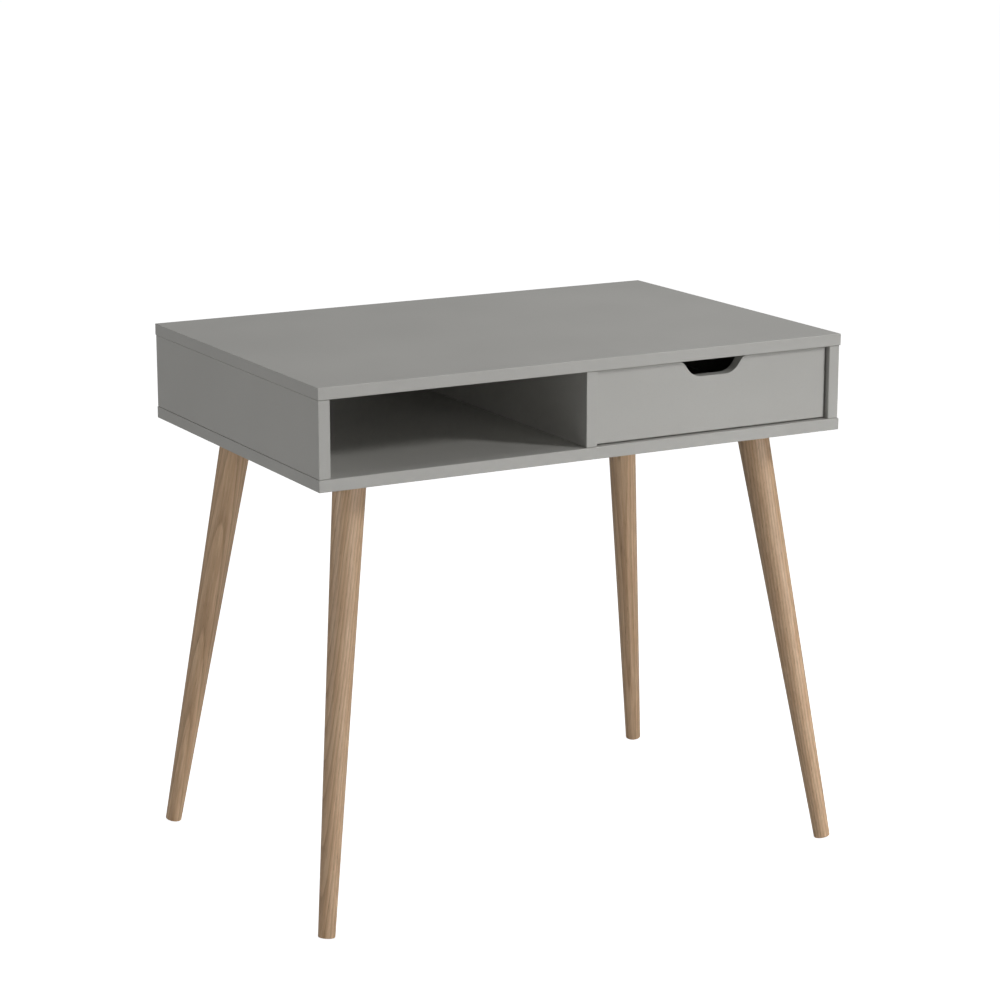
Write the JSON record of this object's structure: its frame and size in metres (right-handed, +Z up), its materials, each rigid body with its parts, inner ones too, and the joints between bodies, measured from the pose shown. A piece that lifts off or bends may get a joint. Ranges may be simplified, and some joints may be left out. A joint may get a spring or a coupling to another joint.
{
  "type": "writing desk",
  "caption": "Small writing desk: lacquered cabinet with an open bay on the left and a drawer on the right, carried by splayed tapered wooden legs",
  "frame": {"origin": "On the floor, below the centre of the desk top", "axes": "+Z up, front of the desk towards -Y, +X to the right of someone facing the front"},
  "size_m": [0.8266, 0.5516, 0.75],
  "materials": {
    "grey_board": "fibreboard with a satin grey lacquer",
    "leg_wood": "turned oak with a matt clear lacquer",
    "dowel_wood": "plain beech dowel",
    "zinc": "zinc-plated steel",
    "white_steel": "white epoxy-coated steel",
    "white_nylon": "white nylon"
  },
  "bodies": {
    "cabinet": {"top_panel": "grey_board", "bottom_panel": "grey_board", "left_side_panel": "grey_board", "right_side_panel": "grey_board", "divider_panel": "grey_board", "back_panel": "grey_board", "cabinet_cam_locks": "zinc", "cabinet_cam_bolts": "zinc", "cabinet_dowels": "dowel_wood", "floor_screws": "zinc", "front_left_leg": "leg_wood", "front_right_leg": "leg_wood", "back_left_leg": "leg_wood", "back_right_leg": "leg_wood", "front_left_leg_plate": "zinc", "front_right_leg_plate": "zinc", "back_left_leg_plate": "zinc", "back_right_leg_plate": "zinc", "leg_hanger_bolts": "zinc", "leg_plate_screws": "zinc", "left_cabinet_runner": "white_steel", "right_cabinet_runner": "white_steel", "cabinet_roller_rivets": "zinc", "cabinet_runner_screws": "zinc"},
    "drawer": {"drawer_front": "grey_board", "drawer_left_side": "grey_board", "drawer_right_side": "grey_board", "drawer_back": "grey_board", "drawer_floor": "grey_board", "left_drawer_runner": "white_steel", "right_drawer_runner": "white_steel", "drawer_roller_rivets": "zinc", "drawer_runner_screws": "zinc", "drawer_cam_locks": "zinc", "drawer_cam_bolts": "zinc", "drawer_dowels": "dowel_wood", "drawer_back_screws": "zinc"},
    "left_cabinet_roller": {"left_front_roller": "white_nylon"},
    "right_cabinet_roller": {"right_front_roller": "white_nylon"},
    "left_drawer_roller": {"left_rear_roller": "white_nylon"},
    "right_drawer_roller": {"right_rear_roller": "white_nylon"}
  },
  "joints": [
    {"name": "drawer_slide", "type": "slide", "parent": "cabinet", "child": "drawer", "axis": [0, -1, 0], "range_m": [0, 0.34]},
    {"name": "left_cabinet_roller_spin", "type": "hinge", "parent": "cabinet", "child": "left_cabinet_roller", "pos_m": [0.01405, -0.2345, 0.648], "axis": [1, 0, 0], "continuous": true},
    {"name": "right_cabinet_roller_spin", "type": "hinge", "parent": "cabinet", "child": "right_cabinet_roller", "pos_m": [0.3837, -0.2345, 0.648], "axis": [1, 0, 0], "continuous": true},
    {"name": "left_drawer_roller_spin", "type": "hinge", "parent": "drawer", "child": "left_drawer_roller", "pos_m": [0.01695, 0.1925, 0.649], "axis": [1, 0, 0], "continuous": true},
    {"name": "right_drawer_roller_spin", "type": "hinge", "parent": "drawer", "child": "right_drawer_roller", "pos_m": [0.3808, 0.1925, 0.649], "axis": [1, 0, 0], "continuous": true}
  ],
  "couplings": [
    {"joint": "left_cabinet_roller_spin", "follows": "drawer_slide", "rad_per_m": 117.65},
    {"joint": "right_cabinet_roller_spin", "follows": "drawer_slide", "rad_per_m": 117.65},
    {"joint": "left_drawer_roller_spin", "follows": "drawer_slide", "rad_per_m": 117.65},
    {"joint": "right_drawer_roller_spin", "follows": "drawer_slide", "rad_per_m": 117.65}
  ]
}
